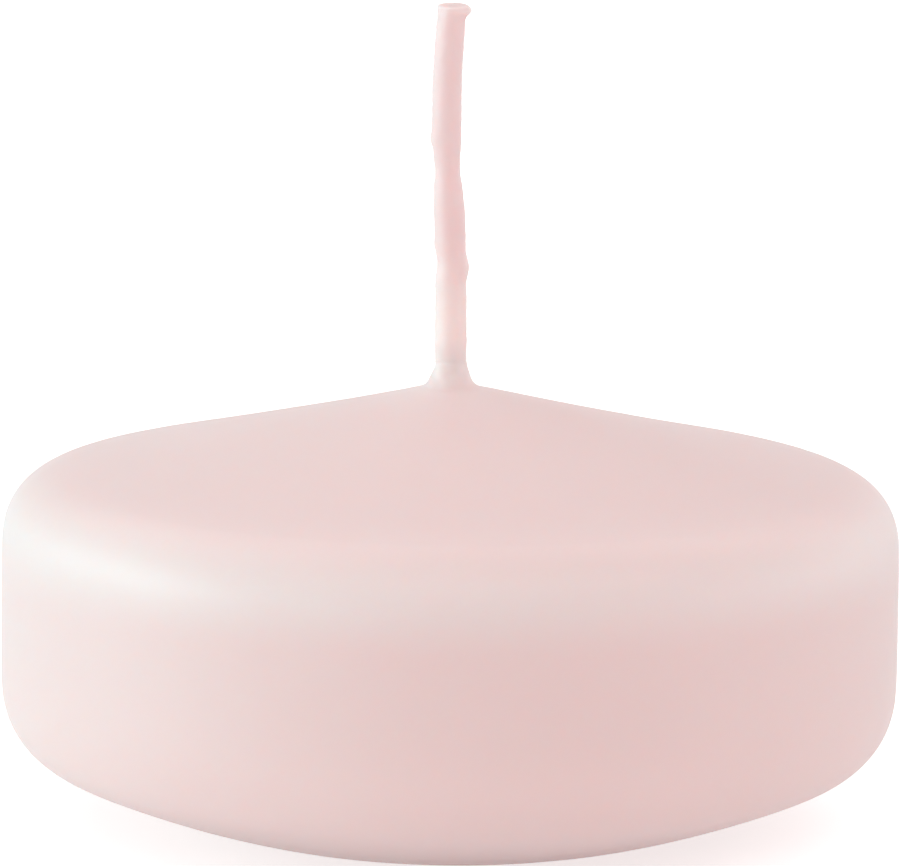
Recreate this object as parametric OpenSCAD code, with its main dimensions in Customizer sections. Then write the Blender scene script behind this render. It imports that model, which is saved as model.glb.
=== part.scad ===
/* [Wax body] */
// Diameter across the straight wall
body_d = 45; // [38:0.5:80]
// Diameter of the flat that the candle stands on
base_d = 22.4; // [14:0.2:30]
// Height of the domed underside, from the flat up to the foot of the wall
underside_h = 7; // [5.5:0.1:10]
// Height of the straight wall
wall_h = 7.4; // [3:0.1:20]
// Radius where the underside turns up into the wall
corner_r = 4.4; // [1.5:0.1:5]
// Radius of the shoulder, where the wall turns in to the sloping top
shoulder_r = 3.3; // [1:0.1:6]
// Slope of the top where it leaves the shoulder, in degrees
top_slope = 12.3; // [6:0.1:22]
// Radius of the slight hollow along the slope of the top
top_hollow_r = 550; // [200:10:2000]

/* [Wax collar] */
// Height of the collar of wax round the foot of the wick
collar_h = 1.3; // [0.9:0.05:3]
// How far the collar's foot spreads beyond the wick
collar_w = 0.42; // [0.25:0.01:0.8]
// Thickness that the collar keeps at its rim
collar_rim = 0.05; // [0.03:0.01:0.15]

/* [Wick] */
// Diameter of the wick in its channel through the wax
wick_d = 1.6; // [1:0.05:3]
// Length of wick that stands out of the collar
wick_out = 17.9; // [8:0.1:40]
// Diameter of the standing wick at its cut end
tip_d = 1.42; // [0.8:0.02:3]
// How far the wick stops short of the flat base
wick_recess = 0.5; // [0.2:0.1:3]
// How far the standing wick bows to the left
wick_bow = 0.47; // [0:0.01:2]
// Height above the collar at which it bows the most
bow_z = 12.5; // [4:0.1:20]
// How deep the coat is pinched in at one place
pinch_in = 0.11; // [0:0.01:0.25]
// Height of the pinched place above the collar
pinch_z = 9.7; // [2:0.1:18]
// How far the lumps of wax stand out of the coat
lump_out = 0.14; // [0:0.01:0.5]
// How far the drop of wax at the cut end stands out
drop_out = 0.26; // [0:0.01:0.6]
// Radius that the dip has put on the edge of the cut end
tip_round = 0.22; // [0.1:0.01:0.35]

/* [Hidden] */

wax_pink = [0.93, 0.80, 0.79];
wick_pink = [0.92, 0.79, 0.77];

body_r = body_d / 2;
base_r = base_d / 2;
channel_r = wick_d / 2;
wall_top_z = underside_h + wall_h;

// Steps round the true curves, with more on the wide arc of the hollow
fine = 180;
hollow_fine = 3600;
// How far a cutting shape runs past what it cuts
over = 1;

// The underside is part of a sphere about a centre on the axis. It passes through the edge
// of the flat and touches the corner's arc from inside, which settles its radius.
corner_c = [body_r - corner_r, underside_h];
corner_share = corner_r / underside_h;
dome_k = corner_c * corner_c - pow(base_r, 2) - pow(corner_r, 2);
dome_a = 1 - pow(corner_share, 2);
dome_b = dome_k * corner_share / underside_h;
dome_c = pow(dome_k / (2 * underside_h), 2) + pow(base_r, 2);
dome_r = (dome_b + sqrt(pow(dome_b, 2) + 4 * dome_a * dome_c)) / (2 * dome_a);
dome_centre = [0, sqrt(pow(dome_r, 2) - pow(base_r, 2))];
dome_end = dome_centre + (corner_c - dome_centre) * dome_r / (dome_r - corner_r);

// The shoulder's arc ends where the slope of the top begins, and the top is hollowed by a
// wide arc that leaves that point without a kink
shoulder_c = [body_r - shoulder_r, wall_top_z];
slope_normal = [sin(top_slope), cos(top_slope)];
shoulder_end = shoulder_c + shoulder_r * slope_normal;
hollow_c = shoulder_end + top_hollow_r * slope_normal;

function top_z(x) = hollow_c[1] - sqrt(pow(top_hollow_r, 2) - pow(hollow_c[0] - x, 2));

// The collar's side is an arc that is upright at the rim and spreads towards its foot
rim_r = channel_r + collar_rim;
collar_foot_r = channel_r + collar_w;
collar_spread = collar_w - collar_rim;
collar_arc_r = (pow(collar_h, 2) + pow(collar_spread, 2)) / (2 * collar_spread);
collar_top_z = top_z(collar_foot_r) + collar_h;

// Half of the body's section, from the flat up to the point of the top
module body_section() {
    intersection() {
        translate(dome_centre) circle(r = dome_r, $fn = fine);
        square(dome_end);
    }
    polygon([[0, dome_end[1]], dome_end, corner_c, [0, underside_h]]);
    translate(corner_c) circle(r = corner_r, $fn = fine);
    translate([0, underside_h]) square([body_r, wall_h]);
    translate(shoulder_c) circle(r = shoulder_r, $fn = fine);
    difference() {
        polygon([[0, wall_top_z], shoulder_c, shoulder_end, [0, collar_top_z + over]]);
        translate(hollow_c) circle(r = top_hollow_r, $fn = hollow_fine);
    }
}

// Half of the collar's section. Past its foot the arc runs on below the surface of the top.
module collar_section() {
    difference() {
        translate([0, wall_top_z])
            square([collar_foot_r + collar_spread / 2, collar_top_z - wall_top_z]);
        translate([rim_r + collar_arc_r, collar_top_z]) circle(r = collar_arc_r, $fn = fine);
    }
}

module wax_body() {
    color(wax_pink)
    difference() {
        rotate_extrude($fn = fine) {
            body_section();
            collar_section();
        }
        translate([0, 0, -over])
            cylinder(r = channel_r, h = collar_top_z + 2 * over, $fn = fine);
    }
}

// Mesh of the standing wick's skin: sides round it, height of a step, rings round the end
skin_sides = 24;
skin_step = 0.4;
end_rings = 4;

// The skin is rooted inside the channel, a hair clear of the collar
skin_inset = 0.015;
foot_r = channel_r - skin_inset;
root_depth = 0.6;
root_r = foot_r - skin_inset;

// Lengths over which the bow, the pinched place and the drop of wax die away
bow_len = 7;
pinch_len = 1.1;
drop_len = 0.38;

// Lumps in the coat: height above the collar, side in degrees, length, share of lump_out
LUMPS = [
    [1.0, 215, 0.5, 0.5],
    [4.7, 0, 0.55, 1],
    [7.6, 20, 1.1, 0.3],
    [8.2, 250, 0.8, 0.35],
    [11.2, 180, 0.5, 0.55],
    [14.0, 120, 1.0, 0.35]
];

function total(v, i = 0) = i >= len(v) ? 0 : v[i] + total(v, i + 1);

// A smooth swelling that is 1 at a height and dies away over a length each way
function swell(h, at, length) = exp(-pow((h - at) / length, 2));

// How much a direction round the wick faces a side
function facing(a, side) = pow(max(0, cos(a - side)), 2);

// Sideways place of the wick's centre line at a height above the collar
function centre_x(h) = wick_bow * (swell(0, bow_z, bow_len) - swell(h, bow_z, bow_len));

// Radius of the coat without its lumps
function coat_r(h) =
    foot_r + (tip_d / 2 - foot_r) * h / wick_out - pinch_in * swell(h, pinch_z, pinch_len);

// What the lumps and the drop of wax add to it
function lumps(h, a) = lump_out * total([
    for (lump = LUMPS) lump[3] * swell(h, lump[0], lump[2]) * facing(a, lump[1])
]);
function drop(h, a) = drop_out * swell(h, wick_out - drop_len, drop_len) * facing(a, 0);

function skin_point(h, a, r) = [centre_x(h) + r * cos(a), r * sin(a), collar_top_z + h];

// A ring of the skin at a height, drawn in towards the cut end's face
function skin_ring(h, drawn_in) = [
    for (i = [0 : skin_sides - 1])
        let (a = 360 * i / skin_sides)
            skin_point(h, a, coat_r(h) + lumps(h, a) + drop(h, a) - drawn_in)
];

straight_out = wick_out - tip_round;
straight_steps = ceil(straight_out / skin_step);

skin_rings = [
    [for (i = [0 : skin_sides - 1]) skin_point(-root_depth, 360 * i / skin_sides, root_r)],
    for (k = [0 : straight_steps]) skin_ring(straight_out * k / straight_steps, 0),
    for (k = [1 : end_rings])
        let (turn = 90 * k / end_rings)
            skin_ring(straight_out + tip_round * sin(turn), tip_round * (1 - cos(turn)))
];

// The standing part of the wick, which bows, narrows and carries the lumps of its coat
module standing_wick() {
    last = len(skin_rings) - 1;
    foot_i = len(skin_rings) * skin_sides;
    points = [
        for (ring = skin_rings) each ring,
        skin_point(-root_depth, 0, 0),
        skin_point(wick_out, 0, 0)
    ];
    faces = [
        for (i = [0 : skin_sides - 1])
            let (next = (i + 1) % skin_sides)
                each [
                    [foot_i, i, next],
                    [foot_i + 1, last * skin_sides + next, last * skin_sides + i],
                    for (k = [0 : last - 1])
                        let (a = k * skin_sides, b = a + skin_sides)
                            each [[a + i, b + i, b + next], [a + i, b + next, a + next]]
                ]
    ];
    polyhedron(points, faces);
}

module wick() {
    color(wick_pink) {
        translate([0, 0, wick_recess])
            cylinder(r = channel_r, h = collar_top_z - wick_recess, $fn = fine);
        standing_wick();
    }
}

wax_body();
wick();
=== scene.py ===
import math

import bpy
from mathutils import Matrix, Vector, noise


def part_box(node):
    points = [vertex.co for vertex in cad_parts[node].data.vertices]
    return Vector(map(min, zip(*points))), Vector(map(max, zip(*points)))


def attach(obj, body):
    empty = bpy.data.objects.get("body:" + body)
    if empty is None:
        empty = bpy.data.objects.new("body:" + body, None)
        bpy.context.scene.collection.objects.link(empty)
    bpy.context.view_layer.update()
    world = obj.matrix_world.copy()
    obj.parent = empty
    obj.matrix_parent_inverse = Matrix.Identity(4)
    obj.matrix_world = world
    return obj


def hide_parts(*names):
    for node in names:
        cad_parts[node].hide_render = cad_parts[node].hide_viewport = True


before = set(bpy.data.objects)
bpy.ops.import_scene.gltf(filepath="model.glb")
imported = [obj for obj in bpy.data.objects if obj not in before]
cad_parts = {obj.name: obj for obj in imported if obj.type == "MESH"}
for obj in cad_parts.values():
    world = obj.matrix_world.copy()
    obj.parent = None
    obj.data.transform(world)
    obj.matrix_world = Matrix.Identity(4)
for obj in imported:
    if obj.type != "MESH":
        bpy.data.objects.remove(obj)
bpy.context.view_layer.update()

# A floating candle of pale pink wax: a turned body and its waxed wick, each in place of its
# plain solid. Lengths are in millimetres unless a comment says otherwise, and MM turns them
# into Blender's metres. The candle stands on height 0.
MM = 0.001

# Highest corner of the body's solid, and both corners of the wick's
BODY_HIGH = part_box("wax_body")[1] / MM
WICK_LOW, WICK_HIGH = (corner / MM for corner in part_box("wick"))

# The body's section, as the solids have it
BODY_R = BODY_HIGH.x
BASE_R = 11.2
UNDERSIDE_H = 7.0
WALL_H = 7.4
CORNER_R = 4.4
SHOULDER_R = 3.3
TOP_SLOPE = math.radians(12.3)
TOP_HOLLOW_R = 550.0
CHANNEL_R = 0.8
COLLAR_W = 0.42
COLLAR_H = 1.3
COLLAR_TOP = BODY_HIGH.z
COLLAR_FOOT_R = CHANNEL_R + COLLAR_W
WICK_OUT = WICK_HIGH.z - COLLAR_TOP

# Roof of the recess under the wick's end. Above it the wick fills its channel.
RECESS_ROOF = 0.8
# How far the flat's points keep from the recess and from the flat's edge, and how many
# degrees past that edge the underside's points begin
RECESS_EDGE = 0.03
FLAT_EDGE = 0.12
DOME_START = 0.2
# How far the collar feathers out up the wick, how far its rim sinks into the wick, and how
# far in its top is closed
FEATHER = 0.25
RIM_SINK = 0.03
RIM_CLOSE = 0.35
# Power of the curve of the collar's side, and gap between the top's points and its foot
COLLAR_CURVE = 2.1
FOOT_GAP = 0.06

# Steps along each stretch of the section. Those of the top crowd towards the collar.
RECESS_STEPS = 4
FLAT_STEPS = 16
DOME_STEPS = 30
CORNER_STEPS = 28
WALL_STEPS = 20
SHOULDER_STEPS = 34
TOP_STEPS = 40
TOP_CROWDING = 1.5
COLLAR_STEPS = 24
BODY_SIDES = 320


def smooth(t):
    """0 below 0, 1 above 1, and an even S-curve between."""
    t = min(1.0, max(0.0, t))
    return t * t * (3 - 2 * t)


def swell(h, at, length):
    """1 at a height, dying away over a length each way."""
    return math.exp(-((h - at) / length) ** 2)


def arc(centre, radius, start, end, steps):
    """Points of an arc in the section, angles in degrees from the outward direction."""
    turns = [math.radians(start + (end - start) * k / steps) for k in range(steps + 1)]
    return [(centre[0] + radius * math.cos(t), centre[1] + radius * math.sin(t)) for t in turns]


def straight(start, end, steps):
    """Evenly spaced points of a straight stretch of the section."""
    shares = [k / steps for k in range(steps + 1)]
    return [tuple(a + (b - a) * share for a, b in zip(start, end)) for share in shares]


def dome():
    """Centre height and radius of the sphere that the underside is part of.

    The sphere passes through the edge of the flat and touches the corner's arc from inside.
    """
    x, b = BODY_R - CORNER_R, CORNER_R / UNDERSIDE_H
    k = x * x + UNDERSIDE_H ** 2 - BASE_R ** 2 - CORNER_R ** 2
    a, p = 1 - b * b, k * b / UNDERSIDE_H
    q = (k / (2 * UNDERSIDE_H)) ** 2 + BASE_R ** 2
    radius = (p + math.sqrt(p * p + 4 * a * q)) / (2 * a)
    return math.sqrt(radius ** 2 - BASE_R ** 2), radius


def lower_section():
    """The section from the recess out over the flat, up the wall and round the shoulder."""
    dome_z, dome_r = dome()
    wall_top = UNDERSIDE_H + WALL_H
    corner = (BODY_R - CORNER_R, UNDERSIDE_H)
    shoulder = (BODY_R - SHOULDER_R, wall_top)
    edge = math.degrees(math.atan2(-dome_z, BASE_R))
    touch = math.degrees(math.atan2(UNDERSIDE_H - dome_z, corner[0]))
    line = straight((CHANNEL_R, RECESS_ROOF), (CHANNEL_R, 0.0), RECESS_STEPS)[:-1]
    line += straight((CHANNEL_R + RECESS_EDGE, 0.0), (BASE_R - FLAT_EDGE, 0.0), FLAT_STEPS)
    line += arc((0, dome_z), dome_r, edge + DOME_START, touch, DOME_STEPS)
    line += arc(corner, CORNER_R, touch, 0, CORNER_STEPS)[1:]
    line += straight((BODY_R, UNDERSIDE_H), (BODY_R, wall_top), WALL_STEPS)[1:]
    line += arc(shoulder, SHOULDER_R, 0, 90 - math.degrees(TOP_SLOPE), SHOULDER_STEPS)[1:]
    return line


def top_height(x, end):
    """Height of the hollowed top at a radius, from where it leaves the shoulder."""
    hollow_x = end[0] + TOP_HOLLOW_R * math.sin(TOP_SLOPE)
    hollow_z = end[1] + TOP_HOLLOW_R * math.cos(TOP_SLOPE)
    return hollow_z - math.sqrt(TOP_HOLLOW_R ** 2 - (hollow_x - x) ** 2)


def collar_radius(share):
    """Radius of the collar's side from its foot (0) to where it feathers out (1)."""
    return CHANNEL_R - RIM_SINK + (COLLAR_W + RIM_SINK) * (1 - share) ** COLLAR_CURVE


def upper_section(end):
    """The section from the end of the shoulder up the top and the collar to the wick."""
    line = []
    for k in range(1, TOP_STEPS + 1):
        along = 1 - (1 - k / TOP_STEPS) ** TOP_CROWDING
        x = end[0] + (COLLAR_FOOT_R + FOOT_GAP - end[0]) * along
        line.append((x, top_height(x, end)))
    foot_z = top_height(COLLAR_FOOT_R, end)
    rim_z = COLLAR_TOP + FEATHER
    for k in range(1, COLLAR_STEPS + 1):
        share = k / COLLAR_STEPS
        line.append((collar_radius(share), foot_z + (rim_z - foot_z) * share))
    line.append((CHANNEL_R - RIM_CLOSE, rim_z))
    return line


# The section's joints are eased over about EASE_LEN. The easing sets in beyond a radius and
# above the flat, over a length each. The collar's foot is eased over FOOT_EASE, within a
# band each side of it.
EASE_LEN = 0.9
EASE_FROM, EASE_OVER = 5.0, 4.0
EASE_RISE = 1.5
FOOT_EASE, FOOT_BAND = 0.35, 0.4


def softened(line):
    """The section with its joints between arcs and straights eased, as a dip coat eases them.

    Each point moves to the mean of the line near it. The flat of the base stays.
    """
    steps = [math.dist(a, b) for a, b in zip(line, line[1:])]
    along = [sum(steps[:i]) for i in range(len(line))]
    sizes = [0.5 * (a + b) for a, b in zip([0.0] + steps, steps + [0.0])]
    eased = []
    for (r, z), here in zip(line, along):
        wide = smooth((r - EASE_FROM) / EASE_OVER) * smooth(z / EASE_RISE)
        tight = smooth(2 - abs(r - COLLAR_FOOT_R) / FOOT_BAND) if z > UNDERSIDE_H else 0.0
        reach, share = (EASE_LEN, wide) if wide > 0 else (FOOT_EASE, tight)
        weights = [size * swell(there, here, reach) for there, size in zip(along, sizes)]
        total = sum(weights)
        mean_r = sum(w * point[0] for w, point in zip(weights, line)) / total
        mean_z = sum(w * point[1] for w, point in zip(weights, line)) / total
        eased.append((r + (mean_r - r) * share, z + (mean_z - z) * share))
    return eased


# The coat is a little thicker round the shoulder and the lower corner
FULLNESS = 0.045
# A slow waviness, mostly inwards, which fades out within a radius
WAVE, WAVE_LEN = 0.02, 7.0
WAVE_SINK = 0.6
WAVE_FADE = 4.0
# Small lumps on the collar and just past its foot
COLLAR_LUMP, COLLAR_LUMP_LEN = 0.06, 0.55
COLLAR_LUMP_PAST = 0.1
COLLAR_LUMP_PLACE = Vector((3, 1, 7))
# Height below which the base stays as it is
BASE_KEPT = 0.2
# The collar and the wick's foot stand a little left of the axis. The body takes up this
# shift from one radius inwards, over a length.
FOOT_SHIFT = 0.095
SHIFT_FROM, SHIFT_OVER = 1.4, 1.6


def outward(line, i):
    """Unit normal of the section at a point, away from the wax."""
    before, after = line[max(i - 1, 0)], line[min(i + 1, len(line) - 1)]
    along = Vector((after[0] - before[0], after[1] - before[1]))
    return Vector((along.y, -along.x)).normalized()


def hand_made(r, z, normal, turn):
    """How far the wax stands off the true section at a place round the body."""
    fuller = FULLNESS * (2 * normal.x * normal.y) ** 2
    where = Vector((r * math.cos(turn), r * math.sin(turn), z))
    wave = WAVE * (noise.noise(where / WAVE_LEN) - WAVE_SINK) * min(1.0, r / WAVE_FADE)
    lumps = 0.0
    if r < COLLAR_FOOT_R + COLLAR_LUMP_PAST and z > UNDERSIDE_H:
        lumps = COLLAR_LUMP * noise.noise(where / COLLAR_LUMP_LEN + COLLAR_LUMP_PLACE)
    return fuller + wave + lumps


def body_ring(line, normals, turn):
    """The section's points at one turn round the axis."""
    ring = []
    for (r, z), normal in zip(line, normals):
        off = hand_made(r, z, normal, turn) if z > BASE_KEPT and r > CHANNEL_R else 0.0
        out, up = r + off * normal.x, z + off * normal.y
        taken_up = smooth((r - SHIFT_FROM) / SHIFT_OVER)
        shift = FOOT_SHIFT * (1 - taken_up) if z > UNDERSIDE_H else 0.0
        ring.append((out * math.cos(turn) - shift, out * math.sin(turn), up))
    return ring


def mesh_object(name, points, faces):
    """A smooth-shaded mesh from points in millimetres."""
    mesh = bpy.data.meshes.new(name)
    mesh.from_pydata([Vector(p) * MM for p in points], [], faces)
    mesh.validate()
    mesh.polygons.foreach_set("use_smooth", [True] * len(mesh.polygons))
    mesh.update()
    piece = bpy.data.objects.new(name, mesh)
    bpy.context.scene.collection.objects.link(piece)
    return piece


def make_wax_body(material):
    """The section turned about the axis, closed by the recess's roof and inside the wick."""
    lower = lower_section()
    line = softened(lower + upper_section(lower[-1]))
    normals = [outward(line, i) for i in range(len(line))]
    points = []
    for k in range(BODY_SIDES):
        points += body_ring(line, normals, 2 * math.pi * k / BODY_SIDES)
    n = len(line)
    faces = []
    for k in range(BODY_SIDES):
        a, b = k * n, (k + 1) % BODY_SIDES * n
        faces += [(a + i, b + i, b + i + 1, a + i + 1) for i in range(n - 1)]
    faces.append([k * n for k in range(BODY_SIDES)][::-1])
    faces.append([k * n + n - 1 for k in range(BODY_SIDES)])
    piece = mesh_object("wax_body_dipped", points, faces)
    piece.data.materials.append(material)
    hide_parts("wax_body")
    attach(piece, "root")


# The wick: how far it bows to the left, where and over what length, and its radius at the
# collar, at the cut end and inside the channel. Heights h are above the collar.
BOW, BOW_Z, BOW_LEN = 0.47, 12.5, 7.0
FOOT_R, TIP_R = 0.785, 0.71
BURIED_R = CHANNEL_R - 0.02
# Height over which the shift of the wick's foot dies away
SHIFT_LEN = 9.0
# Depth, height and length of the pinched place
PINCH, PINCH_Z, PINCH_LEN = 0.11, 9.7, 1.1
# The drop of wax at the cut end: how far it stands out, how far down it is, its length
DROP, DROP_DOWN, DROP_LEN = 0.27, 0.29, 0.26
# Lumps and dents of the coat: height, side in degrees (0 is right, -90 is front), length,
# and share of LUMP
LUMP = 0.14
LUMPS = [
    (0.9, 200, 0.25, 0.12),
    (1.0, 225, 0.5, 0.3),
    (2.6, 180, 2.2, 0.2),
    (4.7, 0, 0.5, 1.15),
    (4.9, 180, 0.55, -0.75),
    (5.9, 165, 0.3, 0.3),
    (7.0, 10, 1.3, 0.35),
    (8.2, 250, 0.8, 0.35),
    (11.2, 180, 0.4, 0.7),
    (12.6, 300, 0.7, 0.25),
    (14.0, 120, 1.0, 0.35),
    (15.6, 230, 0.6, 0.2),
]
# Unevenness of the coat's skin, its grain, and the braid that shows faintly through it.
# They set in over a length above the collar.
SKIN, SKIN_LEN = 0.028, 0.7
GRAIN, GRAIN_LEN = 0.007, 0.16
BRAID, BRAID_PITCH, BRAID_STRANDS = 0.006, 2.1, 4
SKIN_RISE = 0.8
# The cut end: round of its rim, depth of its face, the share of the radius over which the
# face sinks, how much lower its front is than its back, and the length of wick that shares
# this tilt
END_ROUND, END_DIMPLE, END_SLOPE = 0.09, 0.045, 0.5
END_TILT, TILT_LEN = 0.12, 0.8
# Rings of the mesh: in the channel, up the standing wick, round the rim and, as shares of
# the radius, over the face
BURIED_RINGS, STANDING_RINGS, ROUND_RINGS = 30, 420, 8
FACE_RINGS = (0.9, 0.75, 0.6, 0.45, 0.3, 0.15)
WICK_SIDES = 80


def facing(turn, side):
    """How much a direction round the wick faces a side given in degrees."""
    return max(0.0, math.cos(turn - math.radians(side))) ** 2


def wick_centre(h):
    """Sideways place of the wick's centre line. It leaves the axis inside the collar."""
    bow = BOW * (swell(0, BOW_Z, BOW_LEN) - swell(h, BOW_Z, BOW_LEN)) if h > 0 else 0.0
    in_collar = smooth((h + COLLAR_H) / COLLAR_H)
    above = min(1.0, max(0.0, 1 - h / SHIFT_LEN))
    return bow - FOOT_SHIFT * in_collar * above


def wick_skin(h, turn):
    """Small unevenness of the coat, with the braid under it."""
    where = Vector((math.cos(turn) * FOOT_R, math.sin(turn) * FOOT_R, h))
    skin = SKIN * noise.noise(where / SKIN_LEN) + GRAIN * noise.noise(where / GRAIN_LEN)
    across, twist = BRAID_STRANDS * turn, 4 * math.pi * h / BRAID_PITCH
    braid = BRAID * math.sin(across + twist) * math.sin(across - twist)
    return (skin + braid) * min(1.0, h / SKIN_RISE)


def wick_radius(h, turn):
    """Radius of the coated wick at a height and a direction."""
    if h <= 0:
        return BURIED_R
    r = FOOT_R + (TIP_R - FOOT_R) * h / WICK_OUT - PINCH * swell(h, PINCH_Z, PINCH_LEN)
    for at, side, length, share in LUMPS:
        r += LUMP * share * swell(h, at, length) * facing(turn, side)
    r += DROP * swell(h, WICK_OUT - DROP_DOWN, DROP_LEN) * facing(turn, 0)
    return r + wick_skin(h, turn)


def wick_rings():
    """Rings of the wick as (height, draw-in, share of the radius kept), from the bottom up."""
    buried = COLLAR_TOP - WICK_LOW.z
    rim = WICK_OUT - END_ROUND
    rings = [(-buried * (1 - k / BURIED_RINGS), 0.0, 1.0) for k in range(BURIED_RINGS)]
    rings += [(rim * k / STANDING_RINGS, 0.0, 1.0) for k in range(STANDING_RINGS + 1)]
    for k in range(1, ROUND_RINGS + 1):
        turn = math.radians(90 * k / ROUND_RINGS)
        drawn_in = END_ROUND * (1 - math.cos(turn))
        rings.append((rim + END_ROUND * math.sin(turn), drawn_in, 1.0))
    for share in FACE_RINGS:
        sunk = END_DIMPLE * smooth((1 - share) / END_SLOPE)
        rings.append((WICK_OUT - sunk, END_ROUND, share))
    return rings


def wick_point(h, drawn_in, kept, turn):
    """A point of a ring. Near the cut end the front is lowered, so that the end is tilted."""
    r = (wick_radius(min(h, WICK_OUT), turn) - drawn_in) * kept
    forward = 0.5 * (1 - r * math.sin(turn) / TIP_R)
    tilt = END_TILT * smooth((h - WICK_OUT + TILT_LEN) / TILT_LEN) * forward
    return (wick_centre(h) + r * math.cos(turn), r * math.sin(turn), COLLAR_TOP + h - tilt)


def make_wick(material):
    """The waxed wick, swept from the bottom of its channel to its cut end."""
    rings = wick_rings()
    turns = [2 * math.pi * k / WICK_SIDES for k in range(WICK_SIDES)]
    points = [wick_point(*ring, turn) for ring in rings for turn in turns]
    faces = []
    for j in range(len(rings) - 1):
        a, b = j * WICK_SIDES, (j + 1) * WICK_SIDES
        for k in range(WICK_SIDES):
            n = (k + 1) % WICK_SIDES
            faces.append((a + k, a + n, b + n, b + k))
    last = (len(rings) - 1) * WICK_SIDES
    faces.append(list(range(WICK_SIDES))[::-1])
    faces.append([last + k for k in range(WICK_SIDES)])
    piece = mesh_object("wick_waxed", points, faces)
    piece.data.materials.append(material)
    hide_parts("wick")
    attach(piece, "root")


def add_node(tree, kind, **inputs):
    """A node of a kind, with its inputs set by name (underscores stand for spaces)."""
    node = tree.nodes.new(kind)
    for name, value in inputs.items():
        node.inputs[name.replace("_", " ")].default_value = value
    return node


def maths(tree, operation, *values, clamp=False):
    """The result of a maths node on sockets or plain numbers."""
    node = tree.nodes.new("ShaderNodeMath")
    node.operation = operation
    node.use_clamp = clamp
    for socket, value in zip(node.inputs, values):
        if isinstance(value, (int, float)):
            socket.default_value = value
        else:
            tree.links.new(value, socket)
    return node.outputs[0]


def s_curve(tree, value, low, high, low_value, high_value):
    """A number that goes smoothly from one value to another as a socket goes low to high."""
    node = add_node(tree, "ShaderNodeMapRange", From_Min=low, From_Max=high)
    node.interpolation_type = "SMOOTHSTEP"
    node.inputs["To Min"].default_value = low_value
    node.inputs["To Max"].default_value = high_value
    tree.links.new(value, node.inputs["Value"])
    return node.outputs["Result"]


def upwards(tree, place):
    """The upward part of a place or direction."""
    parts = tree.nodes.new("ShaderNodeSeparateXYZ")
    tree.links.new(place, parts.inputs[0])
    return parts.outputs["Z"]


def noise_at(tree, place, scale, detail):
    """Noise of a scale in lumps to the metre."""
    node = add_node(tree, "ShaderNodeTexNoise", Scale=scale, Detail=detail)
    tree.links.new(place, node.inputs["Vector"])
    return node.outputs["Fac"]


def mixed(tree, share, first, second):
    """A mix of two colours, each a socket or a colour, by a share."""
    node = tree.nodes.new("ShaderNodeMix")
    node.data_type = "RGBA"
    tree.links.new(share, node.inputs["Factor"])
    for name, value in (("A", first), ("B", second)):
        if isinstance(value, tuple):
            node.inputs[name].default_value = (*value, 1)
        else:
            tree.links.new(value, node.inputs[name])
    return node.outputs["Result"]


# Where tints and the spread of light in the wax change with height: lowest and highest
# height, and the value at each. The collar takes the wick's colour where they meet. Light
# spreads as little in the one as in the other there, so that no line shows.
COLLAR_TINT = (20.9, 23.2, 0.0, 1.0)
FOOT_TINT = (25.0, 30.5, 1.0, 0.0)
COLLAR_SPREAD = (20.8, 22.8, 1.0, 0.014)
FOOT_SPREAD = (23.3, 24.6, 0.033, 1.0)
# The painted sheen: a paler band round the shoulder that stands in for its highlight. Height of
# its middle, and reach up and down
SHEEN_BAND_MIDDLE, SHEEN_BAND_REACH = 15.4, 3.2


def by_height(tree, place, low, high, low_value, high_value):
    """A number that goes from one value to another between two heights."""
    return s_curve(tree, upwards(tree, place), low * MM, high * MM, low_value, high_value)


def painted_sheen_share(tree, place):
    """Share of the painted sheen, paler wax in place of the shoulder's highlight: 1 along the
    shoulder, dying away to 0 above and below it.
    """
    off = maths(tree, "SUBTRACT", upwards(tree, place), SHEEN_BAND_MIDDLE * MM)
    off = maths(tree, "DIVIDE", off, SHEEN_BAND_REACH * MM)
    bell = maths(tree, "SUBTRACT", 1.0, maths(tree, "MULTIPLY", off, off), clamp=True)
    return maths(tree, "MULTIPLY", bell, bell)


def collar_share(tree, place):
    """0 on the body's top and 1 at the collar's rim."""
    return by_height(tree, place, *COLLAR_TINT)


def foot_share(tree, place):
    """1 at the foot of the wick and 0 from a little way up it."""
    return by_height(tree, place, *FOOT_TINT)


# The wax of the foot of the wick and of the collar's rim
FOOT_COLOUR = (0.885, 0.725, 0.71)
# Each wax: two colours that drift into each other, tints with the share of each by height,
# how far red, green and blue light spread in it (in metres) and where they spread less,
# roughness, and strength of the dip coat
PINK_WAX = {
    "colours": ((0.85, 0.638, 0.626), (0.83, 0.615, 0.604)),
    # The first tint is the painted sheen round the shoulder: paler wax in place of its
    # highlight
    "tints": ((painted_sheen_share, (0.83, 0.685, 0.675)), (collar_share, FOOT_COLOUR)),
    "radius": (0.0028, 0.0018, 0.0015),
    "spread": COLLAR_SPREAD,
    "roughness": 0.47,
    "coat": 0.45,
}
WAXED_WICK = {
    "colours": ((0.825, 0.638, 0.637), (0.805, 0.603, 0.602)),
    "tints": ((foot_share, FOOT_COLOUR),),
    "radius": (0.0012, 0.0008, 0.0007),
    "spread": FOOT_SPREAD,
    "roughness": 0.5,
    "coat": 0.5,
}
# Scale and detail of the noise for drifts of colour, for roughness and for ripples
CLOUDS = (90, 4)
SATIN = (240, 3)
RIPPLES = (420, 5)
# How much the roughness varies in all, and strength and depth of the ripples
SATIN_RANGE = 0.12
RIPPLE_STRENGTH, RIPPLE_DEPTH = 0.35, 0.02
WAX_IOR = 1.45
COAT_ROUGHNESS = 0.5


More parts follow.
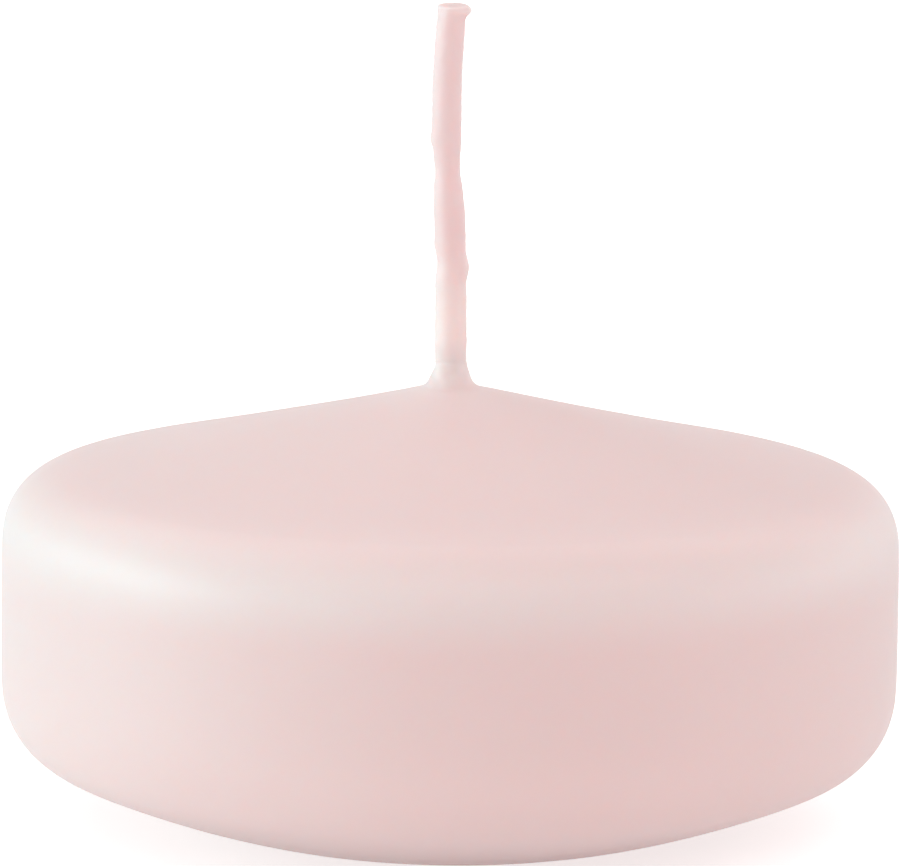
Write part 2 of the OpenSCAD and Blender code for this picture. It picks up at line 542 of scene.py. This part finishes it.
def wax_material(name, wax):
    """Satin wax: light scatters inside it, and a soft dip coat lies over it."""
    material = bpy.data.materials.new(name)
    material.use_nodes = True
    tree = material.node_tree
    shader = tree.nodes["Principled BSDF"].inputs
    place = tree.nodes.new("ShaderNodeTexCoord").outputs["Object"]
    tint = mixed(tree, noise_at(tree, place, *CLOUDS), *wax["colours"])
    # Tints by height, the painted sheen round the shoulder among them
    for share, colour in wax["tints"]:
        tint = mixed(tree, share(tree, place), tint, colour)
    tree.links.new(tint, shader["Base Color"])
    least = wax["roughness"] - SATIN_RANGE / 2
    satin = maths(tree, "MULTIPLY_ADD", noise_at(tree, place, *SATIN), SATIN_RANGE, least)
    tree.links.new(satin, shader["Roughness"])
    depth = RIPPLE_DEPTH * MM
    bump = add_node(tree, "ShaderNodeBump", Strength=RIPPLE_STRENGTH, Distance=depth)
    tree.links.new(noise_at(tree, place, *RIPPLES), bump.inputs["Height"])
    tree.links.new(bump.outputs["Normal"], shader["Normal"])
    shader["Subsurface Weight"].default_value = 1.0
    shader["Subsurface Radius"].default_value = wax["radius"]
    tree.links.new(by_height(tree, place, *wax["spread"]), shader["Subsurface Scale"])
    shader["IOR"].default_value = WAX_IOR
    shader["Coat Weight"].default_value = wax["coat"]
    shader["Coat Roughness"].default_value = COAT_ROUGHNESS
    shader["Coat IOR"].default_value = WAX_IOR
    return material


# The floor: its radius in metres, its grey, its own glow, and what the camera sees on top
FLOOR_R = 4.0
FLOOR_GREY = 0.68
FLOOR_GLOW, FLOOR_LIFT = 0.28, 0.30
# It lies a hair below the base, so that the two faces don't flicker
FLOOR_GAP = 0.01


def floor_material():
    """Pale and matt, with a glow of its own that lights the underside as a light table does.

    To the camera it is lifted a little more, so that it is white out of the shadow.
    """
    material = bpy.data.materials.new("pale_floor")
    material.use_nodes = True
    tree = material.node_tree
    shader = tree.nodes["Principled BSDF"].inputs
    shader["Base Color"].default_value = (FLOOR_GREY, FLOOR_GREY, FLOOR_GREY, 1)
    shader["Roughness"].default_value = 0.8
    shader["Specular IOR Level"].default_value = 0.2
    shader["Emission Color"].default_value = (1, 1, 1, 1)
    seen = tree.nodes.new("ShaderNodeLightPath").outputs["Is Camera Ray"]
    glow = maths(tree, "MULTIPLY_ADD", seen, FLOOR_LIFT, FLOOR_GLOW)
    tree.links.new(glow, shader["Emission Strength"])
    return material


def make_floor():
    """A wide disc under the candle."""
    place = (0, 0, -FLOOR_GAP * MM)
    bpy.ops.mesh.primitive_circle_add(
        vertices=96, radius=FLOOR_R, fill_type="NGON", location=place)
    floor = bpy.context.object
    floor.name = "floor"
    floor.data.materials.append(floor_material())


# The camera, as fitted to the outline in the photo: height above level, tilt, distance from
# the point that it is aimed at, and the photo's width in pixels and pixels to a millimetre
CAMERA_ELEVATION = math.radians(9.5)
CAMERA_ROLL = math.radians(0.70)
CAMERA_DISTANCE = 411.0
CAMERA_AIM = (-0.0926, 0.0, 19.654)
IMAGE_W = 900
PIXELS_PER_MM = 19.984


def make_camera():
    """The photo's camera, in front of the candle and a little above it."""
    camera = bpy.data.cameras.new("camera")
    camera.sensor_width = 36.0
    camera.lens = camera.sensor_width * PIXELS_PER_MM * CAMERA_DISTANCE / IMAGE_W
    camera.clip_start, camera.clip_end = 0.01, 20.0
    holder = bpy.data.objects.new("camera", camera)
    bpy.context.scene.collection.objects.link(holder)
    back = Vector((0, -math.cos(CAMERA_ELEVATION), math.sin(CAMERA_ELEVATION)))
    up = Vector((0, math.sin(CAMERA_ELEVATION), math.cos(CAMERA_ELEVATION)))
    right = Vector((1, 0, 0))
    tilted_right = right * math.cos(CAMERA_ROLL) + up * math.sin(CAMERA_ROLL)
    tilted_up = back.cross(tilted_right)
    turn = Matrix((tilted_right, tilted_up, back)).transposed()
    place = (Vector(CAMERA_AIM) + back * CAMERA_DISTANCE) * MM
    holder.matrix_world = Matrix.Translation(place) @ turn.to_4x4()
    bpy.context.scene.camera = holder


# Lamps, each a metre from the candle: direction in degrees from the front (right is
# positive), height in degrees, width and height in metres, strength and colour. Those on
# the left are cool, because the photo's bright left side is hardly redder than white.
LAMPS = {
    "left_back": (-108, 8, 0.35, 0.25, 0.4, (0.7, 1, 1)),
    "left_back_top": (-105, 34, 0.6, 0.5, 0.5, (0.9, 1, 1)),
    "left_high": (-96, 14, 0.8, 0.42, 1.5, (0.64, 1, 1)),
    "left_low": (-80, 6, 0.6, 0.22, 2.5, (0.6, 1, 1)),
    "left_front": (-50, 6, 1.0, 0.22, 1.0, (0.6, 1, 1)),
    "top_back": (180, 66, 1.6, 1.2, 4.5, (1, 0.92, 0.905)),
    "front_high": (20, 46, 1.6, 0.5, 3.7, (1, 0.97, 0.965)),
    "right_back": (131, 22, 0.35, 0.3, 0.45, (0.85, 1, 1)),
    "right_low": (92, 7, 1.1, 0.24, 1.2, (0.8, 1, 1)),
}
# Point that they are aimed at, in metres
LAMP_AIM = Vector((0, 0, 0.018))


def make_lamp(name, turn, rise, width, height, watts, colour):
    """An even rectangle of light that faces the candle."""
    light = bpy.data.lights.new(name, "AREA")
    light.shape = "RECTANGLE"
    light.size, light.size_y = width, height
    light.energy = watts
    light.color = colour
    lamp = bpy.data.objects.new(name, light)
    bpy.context.scene.collection.objects.link(lamp)
    turn, rise = math.radians(turn), math.radians(rise)
    out = math.cos(rise)
    lamp.location = (out * math.sin(turn), -out * math.cos(turn), math.sin(rise))
    lamp.rotation_euler = (LAMP_AIM - lamp.location).to_track_quat("-Z", "Y").to_euler()


# The studio as the camera and reflections see it: a white wall up to one rise of the line
# of sight, a ceiling from another, and the ceiling's grey. As a light it is even.
WALL_TOP, CEILING_FROM, CEILING = 0.05, 0.32, 0.54
WORLD_LIGHT = 0.42


def make_world():
    """White low down and greyer overhead to the camera and in reflections, as a studio is."""
    world = bpy.data.worlds.new("studio")
    bpy.context.scene.world = world
    world.use_nodes = True
    tree = world.node_tree
    background = tree.nodes["Background"].inputs
    background["Color"].default_value = (1, 1, 1, 1)
    place = tree.nodes.new("ShaderNodeTexCoord").outputs["Generated"]
    sky = s_curve(tree, upwards(tree, place), WALL_TOP, CEILING_FROM, 1.0, CEILING)
    rays = tree.nodes.new("ShaderNodeLightPath").outputs
    seen = maths(tree, "MAXIMUM", rays["Is Camera Ray"], rays["Is Glossy Ray"])
    seen = maths(tree, "MAXIMUM", seen, rays["Is Transmission Ray"])
    extra = maths(tree, "SUBTRACT", sky, WORLD_LIGHT)
    power = maths(tree, "MULTIPLY_ADD", seen, extra, WORLD_LIGHT)
    tree.links.new(power, background["Strength"])


make_camera()
make_floor()
for name, values in LAMPS.items():
    make_lamp(name, *values)
make_world()
make_wax_body(wax_material("pink_wax", PINK_WAX))
make_wick(wax_material("waxed_wick", WAXED_WICK))

view = bpy.context.scene.view_settings
view.view_transform = "Standard"
